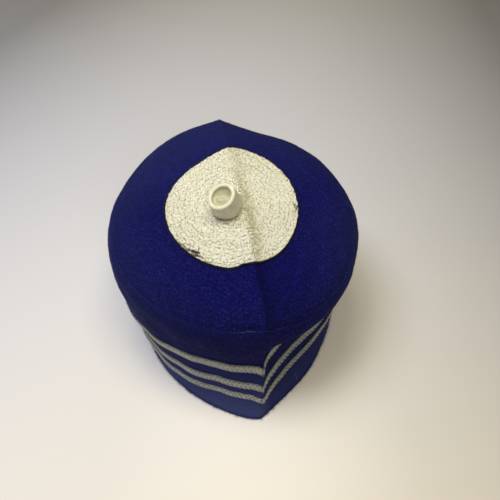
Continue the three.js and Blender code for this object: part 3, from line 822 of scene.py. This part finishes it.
def stitches():
    """Rings of small worked eyelets packed side by side: each a ring of silk overcast round a
    pinhole. Eyelets of neighbouring rings lie between each other."""
    rng = np.random.default_rng(55)
    pitch = 1.40
    rows, count, turn, bend = [], 0, 0.0, 0.0
    for r in np.arange(DISC_R - 0.95, 1.6, -pitch):
        if count == 0 or 2 * np.pi * r / count < 1.28:
            count = max(int(round(2 * np.pi * r / 1.64)), 4)
            turn = rng.random()
        turn += 0.5 + rng.normal(0.0, 0.10)
        bend += rng.normal(0.0, 0.5)
        th = np.arange(count) * 2 * np.pi / count
        th = th + (turn + rng.uniform(-0.2, 0.2, count) + 0.25 * np.sin(4 * th + bend)) * 2 * np.pi / count
        wander = 0.16 * np.sin(3 * th + rng.uniform(0, 6.28)) + 0.14 * np.sin(8 * th + rng.uniform(0, 6.28))
        wander *= min(1.0, (DISC_R - r) / 4.0)
        rows.append(np.stack([r + wander + rng.normal(0, 0.20, count), th, np.full(count, 2 * np.pi * r / count)], -1))
    rt = np.concatenate(rows)
    m = len(rt)
    r, th, room = rt.T
    seg, sides = 7, 4
    a = np.arange(seg) * 2 * np.pi / seg
    # towards the middle the eyelets are drawn out along the radius and nearly closed
    inner = np.clip((34.0 - r) / 22.0, 0, 1)
    along = 0.545 * (1 + 0.20 * inner + rng.normal(0, 0.10, m))
    across = 0.345 * room * (1 - 0.16 * inner + rng.normal(0, 0.08, m))
    twist = rng.normal(0, 0.35, m)
    ca, sa = np.cos(a)[None, :] * along[:, None], np.sin(a)[None, :] * across[:, None]
    da = ca * np.cos(twist)[:, None] - sa * np.sin(twist)[:, None]
    db = ca * np.sin(twist)[:, None] + sa * np.cos(twist)[:, None]
    rr = r[:, None] + da
    tt = th[:, None] + db / np.maximum(rr, 1.2)
    lift = DISC_LIFT + 0.22 + rng.normal(0, 0.11, (m, 1)) + rng.normal(0, 0.06, (m, seg))
    pt, n = disc_polar(rr.ravel(), tt.ravel(), lift.ravel())
    paths, ups = pt.reshape(m, seg, 3), n.reshape(m, seg, 3)
    wide = 0.298 * (1 + 0.10 * inner[:, None]) * (1 + 0.14 * np.cos(2 * np.pi * np.arange(seg) / 3)[None, :] + rng.normal(0, 0.08, (m, seg)))
    pts, faces = tubes(paths, ups, wide, wide * 0.72, sides, closed=True)
    # painted shade on the hollow side of the crease, weaker towards the back
    painted_crease_shade = np.exp(-(((paths[:, :, 0] - 3.2) / np.where(paths[:, :, 0] > 3.2, 6.5, 3.6)) ** 2))
    painted_crease_shade *= 1 - 0.5 * np.clip((paths[:, :, 1] - 10.0) / 25.0, 0, 1)
    # painted shadow of the knob: a darker ring on the stitches just outside its foot, on its front-left side
    kx, ky = paths[:, :, 0] - KNOB_X, paths[:, :, 1] - KNOB_Y
    foot = np.exp(-(((np.hypot(kx, ky) - 10.9) / 1.5) ** 2)) * np.clip(0.5 - 0.5 * np.sin(np.arctan2(ky, kx) + 0.82), 0, 1) ** 2
    # painted light: stitches lighter towards the front of the disc, and a painted highlight just left of the crease at
    # the front
    front = np.clip((-14.0 - paths[:, :, 1]) / 22.0, 0, 1)
    t = np.clip(rng.normal(0.76, 0.17, (m, 1)) + rng.normal(0, 0.12, (m, seg)) - 0.60 * painted_crease_shade - 0.62 * foot + 0.24 * front
                + 0.14 * np.exp(-(((paths[:, :, 0] + 5.0) / 5.0) ** 2)) * np.clip((-5.0 - paths[:, :, 1]) / 20.0, 0, 1), 0, 1)
    t = np.repeat(t.ravel(), sides)
    ang = np.tile(np.arange(sides) / sides, m * seg)
    row = np.tile(np.repeat((np.arange(seg) % 2) * 0.5 + 0.25, sides), m)
    uv = np.stack([0.03 + 0.9 * t + 0.03 * ang, row], -1)
    obj = build("disc_stitches", pts, faces, silk.m, attributes={"tone": t}, uv=uv)


stitches()


# ---- black corded edge ------------------------------------------------------------------
def edging():
    """A thin two-ply cord round the disc, held by small overcast stitches."""
    n = 640
    th = np.arange(n) * 2 * np.pi / n
    paths, ups = [], []
    turns = 110
    sunk = 0.30 * np.clip(np.cos(th + 0.35), 0, 1)      # deeper in the nap on the right
    wob = 0.14 * waves(np.stack([60 * np.cos(th), 60 * np.sin(th), 0 * th], -1), 14, 61)
    for k in range(2):
        ph = turns * th + k * np.pi
        r = DISC_R + 0.60 + 0.24 * np.cos(ph) + wob
        pt, nn = disc_polar(r, th, 0.68 - sunk + 0.24 * np.sin(ph))
        paths.append(pt)
        ups.append(nn)
    pts, faces = tubes(np.array(paths), np.array(ups), 0.33, 0.33, 6, closed=True)
    rng = np.random.default_rng(62)
    m = 230
    at = (np.arange(m) + rng.uniform(-0.35, 0.35, m)) * 2 * np.pi / m
    inner = DISC_R - rng.uniform(0.0, 0.75, m)
    s = np.linspace(0, 1, 5)
    r = (DISC_R + 1.25) * (1 - s) + inner[:, None] * s
    tt = at[:, None] + (s - 0.5) * rng.normal(0.0, 0.012, (m, 1))
    lift = np.array([0.25, 0.9, 1.2, 1.25, 0.95]) + rng.normal(0, 0.06, (m, 1))
    pt, nn = disc_polar(r.ravel(), tt.ravel(), lift.ravel())
    more, mfaces = tubes(pt.reshape(m, 5, 3), nn.reshape(m, 5, 3), np.array([0.12, 0.17, 0.17, 0.15, 0.08]), 0.12, 4)
    faces = faces + [f + len(pts) for f in mfaces]
    obj = build("edge_cord", np.concatenate([pts, more]), faces, black.m)
    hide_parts("disc_edging")


edging()


# ---- rolled satin knob ------------------------------------------------------------------
def knob():
    n = 120
    a = np.arange(n) * 2 * np.pi / n
    rise_k = np.array([0.0, 0.45, 1.2, 2.6, 5.0, 8.0, 10.5, 12.2, 12.9, 13.35, 13.55, 13.3, 12.6, 11.7, 11.1, 10.8, 10.6])
    rad_k = np.array([8.7, 9.9, 10.4, 10.5, 10.15, 9.6, 9.15, 8.95, 8.85, 8.35, 7.45, 6.65, 6.2, 5.8, 5.0, 3.7, 1.6])
    run = np.concatenate([[0], np.cumsum(np.hypot(np.diff(rise_k), np.diff(rad_k)))])
    s = np.linspace(0, run[-1], 84)

    def curve(v):
        m = np.gradient(v, run)
        i = np.clip(np.searchsorted(run, s, side="right") - 1, 0, len(run) - 2)
        h = run[i + 1] - run[i]
        u = (s - run[i]) / h
        return ((2 * u**3 - 3 * u**2 + 1) * v[i] + (u**3 - 2 * u**2 + u) * h * m[i]
                + (3 * u**2 - 2 * u**3) * v[i + 1] + (u**3 - u**2) * h * m[i + 1])

    rise, rad = curve(rise_k)[:, None], curve(rad_k)[:, None]
    top_s = run[10]
    inside = np.clip((s - top_s) / (run[-1] - top_s), 0, 1)[:, None]
    A = a[None, :]
    # the cloth is rolled up, so its free edge makes a step down the outside
    edge = (A - 0.9 - 0.012 * rise * (1 - inside)) % (2 * np.pi)
    step = 0.22 * (edge / (2 * np.pi) - 0.5)
    uneven = 0.16 * np.cos(2 * A + 0.6) + 0.12 * np.cos(3 * A + 2.1) + 0.07 * np.cos(5 * A + 0.4)
    pucker = 0.07 * np.cos(23 * A + 1.3 * np.sin(3 * A)) * np.exp(-(((s[:, None] - top_s) / 3.0) ** 2))
    lumps = waves(np.stack([9 * np.cos(A) + 0 * rise, 9 * np.sin(A) + 0 * rise, rise + 0 * A], -1), 7.0, 72)
    radius = rad + (step + uneven * 0.5 + 0.02 * lumps + 0.20 * lumps * (rise < 11.0)) * (1 - 0.75 * inside) + pucker
    # inside, a fold of the roll crosses the dimple: higher in front, a pocket behind it
    fx, fy = rad * np.cos(A), rad * np.sin(A)
    d = fy + 0.18 * fx - 0.6 + 0.5 * np.sin(fx * 0.5)
    flap = 1.1 / (1 + np.exp(d / 0.28)) - 0.9 / (1 + np.exp(-(d - 0.4) / 0.6))
    pocket = -0.9 * np.exp(-(((fx - 3.4) / 0.9) ** 2 + ((fy + 0.2) / 1.7) ** 2))
    depth = np.clip((inside - 0.45) / 0.4, 0, 1) ** 1.5
    rise2 = rise + (flap + pocket) * depth + 0.10 * np.cos(2 * A + 1.0) * np.exp(-(((s[:, None] - top_s) / 4.0) ** 2))
    x = KNOB_X + KNOB_LEAN_X * rise2 + radius * np.cos(A)
    y = KNOB_Y + KNOB_LEAN_Y * rise2 + radius * np.sin(A)
    foot_here = crown_base(x, y) + GAP + 1.2 + GAP
    foot0 = float(crown_base(np.array(KNOB_X), np.array(KNOB_Y))) + GAP + 1.2 + GAP
    lean = -(KNOB_TILT_X * radius * np.cos(A) + KNOB_TILT_Y * radius * np.sin(A))
    settle = np.minimum(rise2 / 8.0, 1.0)
    z = foot0 + rise2 + (foot_here - foot0) * (1 - settle) + lean * settle
    rows = np.stack([x, y, z], -1)
    mid = rows[-1].mean(0)
    base = rows[0].mean(0)
    pts = np.concatenate([rows.reshape(-1, 3), [base, mid]])
    j = np.arange(n)
    low, high, last = len(pts) - 2, len(pts) - 1, (len(rows) - 1) * n
    faces = [grid_faces(len(rows), n), np.stack([np.full(n, low), (j + 1) % n, j], -1),
             np.stack([np.full(n, high), last + j, last + (j + 1) % n], -1)]
    # painted shade inside the dimple
    dimple_shade = np.clip((inside - 0.10) / 0.22, 0, 1) + 0 * A
    dimple_shade = np.concatenate([dimple_shade.ravel(), [0.0, 1.0]])
    obj = build("rolled_knob", pts, faces, satin.m, attributes={"dimple_shade": dimple_shade})
    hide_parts("knob")


knob()


# ---- braid bands ------------------------------------------------------------------------
def braid_band(name, at, width, seed):
    """A flat three-strand plait, each strand of several yarns, sewn round the band."""
    rng = np.random.default_rng(seed)
    q = np.linspace(0, 2, 8001)
    base = band_point(q, np.full_like(q, at))
    step = np.linalg.norm(np.diff(base, axis=0), axis=1)
    run = np.concatenate([[0], np.cumsum(step)])
    total = run[-1]
    waves_round = int(round(total / 10.5))
    lam = total / waves_round
    count = int(total / (0.8))
    s0 = np.arange(count) * total / count
    # outward direction, eased round the front corner
    qs = np.interp(s0, run, q)
    ease = 2.6
    lo, hi = np.interp((s0 - ease) % total, run, q), np.interp((s0 + ease) % total, run, q)
    tangent = unit(band_point(hi, np.full_like(hi, at)) - band_point(lo, np.full_like(lo, at)))
    rise = band_point(qs, np.full_like(qs, at + 0.02)) - band_point(qs, np.full_like(qs, at - 0.02))
    up = unit(rise)
    out = unit(np.cross(tangent, up))
    tall = np.linalg.norm(rise, axis=1) / 0.04
    yarns = 3 if width < 7 else 4
    ply = 0.27 * width / yarns
    yarn = ply * 0.52
    ribbon = ply * (yarns - 1) / 2
    reach_across = width / 2 - ribbon - yarn
    paths, ups, tones = [], [], []
    for strand in range(3):
        th = 2 * np.pi * (s0 / lam + strand / 3)
        c = reach_across * np.sin(th) * (1 + 0.05 * np.sin(th / 3 + seed))
        slope = reach_across * 2 * np.pi / lam * np.cos(th)
        for off in (np.arange(yarns) - (yarns - 1) / 2) * ply:
            k = np.sqrt(1 + slope**2)
            s = s0 - off * slope / k
            cc = c + off / k
            h = GAP + yarn + 0.16 + 0.38 * np.sin(2 * th) + 0.10 * np.cos(off / ribbon * 1.4)
            sq = np.interp(s % total, run, q)
            i = np.interp(s % total, s0, np.arange(count), period=total).astype(int) % count
            p = band_point(sq, at + cc / tall[i])
            p = p + out[i] * (h + wall_soft(base[np.searchsorted(q, sq).clip(0, len(q) - 1)]))[:, None]
            paths.append(p)
            ups.append(out[i])
            # each yarn painted lighter where it rises over the plait and darker where it dips under it, painted
            # highlight and shade, plus random tone
            tones.append(np.clip(0.54 + (0.22 if yarns == 3 else 0.36) * np.sin(2 * th + 0.8) + rng.normal(0, 0.12) + rng.normal(0, 0.08, count), 0, 1))
    sides = 4
    pts, faces = tubes(np.array(paths), np.array(ups), yarn, yarn * 0.85, sides, closed=True)
    t = np.repeat(np.array(tones).ravel(), sides)
    ang = np.tile(np.arange(sides) / sides, len(paths) * count)
    run_v = np.tile(np.repeat((np.arange(count) % 2) * 0.5 + 0.25, sides), len(paths))
    uv = np.stack([0.03 + 0.9 * t + 0.03 * ang, run_v], -1)
    obj = build(name + "_plait", pts, faces, braid.m, attributes={"tone": t}, uv=uv)
    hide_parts(name)


for i, (name, at, width) in enumerate(STRIPES):
    braid_band(name, at, width, 70 + i)


# ---- loose threads ---------------------------------------------------------------------
def loose_threads():
    """Black frays at the disc's edge, a sewing thread come up in the front seam, a curl of
    lint low on the right and a thread end at the hem."""
    rng = np.random.default_rng(88)
    k = 16
    s = np.linspace(0, 1, k)
    paths, ups, radii, tones = [], [], [], []

    def keep(p, n, radius, tone):
        paths.append(p)
        ups.append(n)
        radii.append(radius * (1 - 0.6 * np.abs(2 * s - 1) ** 4))
        tones.append(np.full(k, tone))

    def fray(th0, r0, turn, inward, radius):
        th = np.radians(th0) + turn * (s - 0.5) + 0.02 * np.sin(5 * s + rng.uniform(0, 6))
        r = r0 - inward * s + 0.5 * np.sin(4 * s + rng.uniform(0, 6))
        p, n = disc_polar(r, th, DISC_LIFT + 0.85 + 0.25 * np.sin(7 * s + rng.uniform(0, 6)))
        keep(p, n, radius, rng.uniform(0.0, 0.12))

    for _ in range(16):
        fray(rng.uniform(210, 238), rng.uniform(45.0, 48.4), rng.uniform(0.05, 0.16), rng.uniform(-1.0, 2.0), 0.12)
    for _ in range(16):
        fray(rng.normal(224, 3.2), rng.uniform(45.0, 48.8), rng.uniform(0.02, 0.10), rng.uniform(0.0, 4.0), 0.17)
    for _ in range(10):
        fray(rng.uniform(340, 355), rng.uniform(44.5, 48.0), rng.uniform(0.04, 0.10), rng.uniform(-1.0, 1.5), 0.10)

    def seam_thread(a0, a1, e0, lift, radius, tone):
        a = np.radians(a0 + (a1 - a0) * s)
        e = e0 + 0.004 * np.sin(6 * s + 1.0)
        wide = 1.0 / reach(np.cos(a), np.sin(a))
        x, y = wide * e * np.cos(a), wide * e * np.sin(a)
        n = crown_normal(x, y)
        keep(np.stack([x, y, crown_z(x, y)], -1) + n * (lift + 0.25 * np.sin(9 * s + 2.0))[:, None], n, radius, tone)

    seam_thread(-107.0, -93.0, 0.9485, 0.10, 0.085, 0.17)
    seam_thread(-102.0, -95.0, 0.9455, 0.15, 0.085, 0.27)
    seam_thread(-90.0, -78.5, 0.9475, -0.05, 0.085, 0.14)

    def on_wall(qs, shares, lift, radius, tone):
        qv, av = np.interp(s, np.linspace(0, 1, len(qs)), qs), np.interp(s, np.linspace(0, 1, len(shares)), shares)
        p = wall_raw(qv, av)
        across = wall_raw(qv + 0.004, av) - wall_raw(qv - 0.004, av)
        up = wall_raw(qv, av + 0.02) - wall_raw(qv, av - 0.02)
        n = unit(np.cross(across, up))
        keep(p + n * (lift + 0.3 * np.sin(5 * s))[:, None], n, radius, tone)

    on_wall((0.2055, 0.2065, 0.2105, 0.2135, 0.2125), (0.040, 0.052, 0.075, 0.098, 0.108), 0.6, 0.11, 0.52)
    on_wall((1.744, 1.748, 1.752), (0.004, 0.02, 0.03), 0.9, 0.34, 0.02)
    sides = 5
    pts, faces = tubes(np.array(paths), np.array(ups), np.array(radii), np.array(radii), sides)
    t = np.repeat(np.array(tones).ravel(), sides)
    along = np.tile(np.repeat(s, sides), len(paths))
    uv = np.stack([0.03 + 0.9 * t + 0.03 * np.tile(np.arange(sides) / sides, len(paths) * k), 0.05 + 0.9 * along], -1)
    obj = build("loose_threads", pts, faces, thread.m, attributes={"tone": t}, uv=uv)


loose_threads()


# ---- floor, light, camera ---------------------------------------------------------------
floor_paint = Paint("floor_paper", Specular_IOR_Level=0.1, Roughness=0.9)
_grain = floor_paint.noise(8, 2.0, 0.5)
_split = floor_paint.node("ShaderNodeSeparateXYZ")
floor_paint.put(_split.inputs[0], floor_paint.where())
# painted light falloff: the sheet is painted darker towards the back and the right, and warmer in front


PAINTED_POOL = (-0.008, -0.155, 0.13, 0.10)   # painted pool of light on the sheet in front: x, y, reach, strength


def gradient(k, low, high):
    """Clamped quadratic of the floor's x and y in metres: 1, x, y, xx, xy, yy."""
    x, y = _split.outputs["X"], _split.outputs["Y"]
    f = floor_paint.maths
    total = f("ADD", f("MULTIPLY", x, k[1]), k[0])
    for term, c in ((y, k[2]), (f("MULTIPLY", x, x), k[3]), (f("MULTIPLY", x, y), k[4]), (f("MULTIPLY", y, y), k[5])):
        total = f("ADD", total, f("MULTIPLY", term, c))
    return f("MINIMUM", f("MAXIMUM", total, low), high)


_light = gradient((0.68, -0.36, -0.56, -1.30, 1.47, 0.11), 0.24, 0.86)
_away = [floor_paint.maths("POWER", floor_paint.maths("ABSOLUTE", floor_paint.maths("SUBTRACT", _split.outputs[a], c)), 2.0)
         for a, c in (("X", PAINTED_POOL[0]), ("Y", PAINTED_POOL[1]))]
_near = floor_paint.maths("MAXIMUM", floor_paint.maths("SUBTRACT", 1.0, floor_paint.maths(
    "DIVIDE", floor_paint.maths("ADD", _away[0], _away[1]), PAINTED_POOL[2] ** 2)), 0.0)
_light = floor_paint.maths("ADD", _light, floor_paint.maths("MULTIPLY", floor_paint.maths("POWER", _near, 1.5), PAINTED_POOL[3]))
_warm = gradient((0.353, 0.40, -1.84, -0.29, 0.10, 3.78), 0.0, 1.0)
_tint = floor_paint.mix(_warm, (1.0, 1.0, 1.09), (1.0, 0.925, 0.785))
_shade = floor_paint.node("ShaderNodeCombineColor")
for k in range(3):
    floor_paint.put(_shade.inputs[k], _light)
_paper = floor_paint.mix(1.0, _shade.outputs[0], _tint, "MULTIPLY")
floor_paint.colour(floor_paint.mix(floor_paint.span(_grain, 0.0, 0.05), _paper, srgb(225, 220, 210)))
me = bpy.data.meshes.new("floor")
me.from_pydata([(-3, -3, -0.0002), (3, -3, -0.0002), (3, 3, -0.0002), (-3, 3, -0.0002)], [], [(0, 1, 2, 3)])
me.materials.append(floor_paint.m)
floor = bpy.data.objects.new("floor", me)
bpy.context.scene.collection.objects.link(floor)


def area_light(name, place, aim, size, power, colour):
    data = bpy.data.lights.new(name, "AREA")
    data.shape = "DISK"
    data.size = size
    data.energy = power
    data.color = colour
    lamp = bpy.data.objects.new(name, data)
    bpy.context.scene.collection.objects.link(lamp)
    lamp.location = place
    lamp.rotation_euler = (Vector(aim) - Vector(place)).to_track_quat("-Z", "Y").to_euler()
    return lamp


area_light("left", (-0.55, 0.30, 1.22), (0.0, 0.0, 0.0), 0.55, 9.5, (0.868, 0.885, 1.0))
area_light("middle", (-0.15, 0.32, 1.22), (0.0, 0.0, 0.0), 0.42, 4.8, (1.0, 0.985, 0.80))
area_light("right", (0.25, 0.08, 1.22), (0.0, 0.0, 0.0), 0.45, 4.8, (1.0, 0.90, 0.62))
area_light("front", (0.15, -1.15, 1.15), (0.0, 0.0, 0.05), 0.80, 5.0, (0.95, 0.93, 0.90))

world = bpy.data.worlds.new("studio")
world.use_nodes = True
world.node_tree.nodes["Background"].inputs[0].default_value = (1.0, 0.90, 0.68, 1.0)
world.node_tree.nodes["Background"].inputs[1].default_value = 0.03
bpy.context.scene.world = world
bpy.context.scene.view_settings.view_transform = "Standard"
bpy.context.scene.view_settings.look = "None"

PITCH, YAW, ROLL = (math.radians(v) for v in (57.237, 15.641, -4.467))
fw = Vector((math.sin(YAW) * math.cos(PITCH), math.cos(YAW) * math.cos(PITCH), -math.sin(PITCH)))
rt = Vector((math.cos(YAW), -math.sin(YAW), 0.0))
dn = fw.cross(rt)
right = rt * math.cos(ROLL) + dn * math.sin(ROLL)
down = -rt * math.sin(ROLL) + dn * math.cos(ROLL)
cam_data = bpy.data.cameras.new("camera")
cam_data.sensor_fit = "HORIZONTAL"
cam_data.sensor_width = 36.0
cam_data.lens = 390.0 / 500.0 * 36.0
camera = bpy.data.objects.new("camera", cam_data)
bpy.context.scene.collection.objects.link(camera)
turn = Matrix((right, -down, -fw)).transposed()
camera.matrix_world = Matrix.Translation((-0.035749, -0.161443, 0.340365)) @ turn.to_4x4()
bpy.context.scene.camera = camera
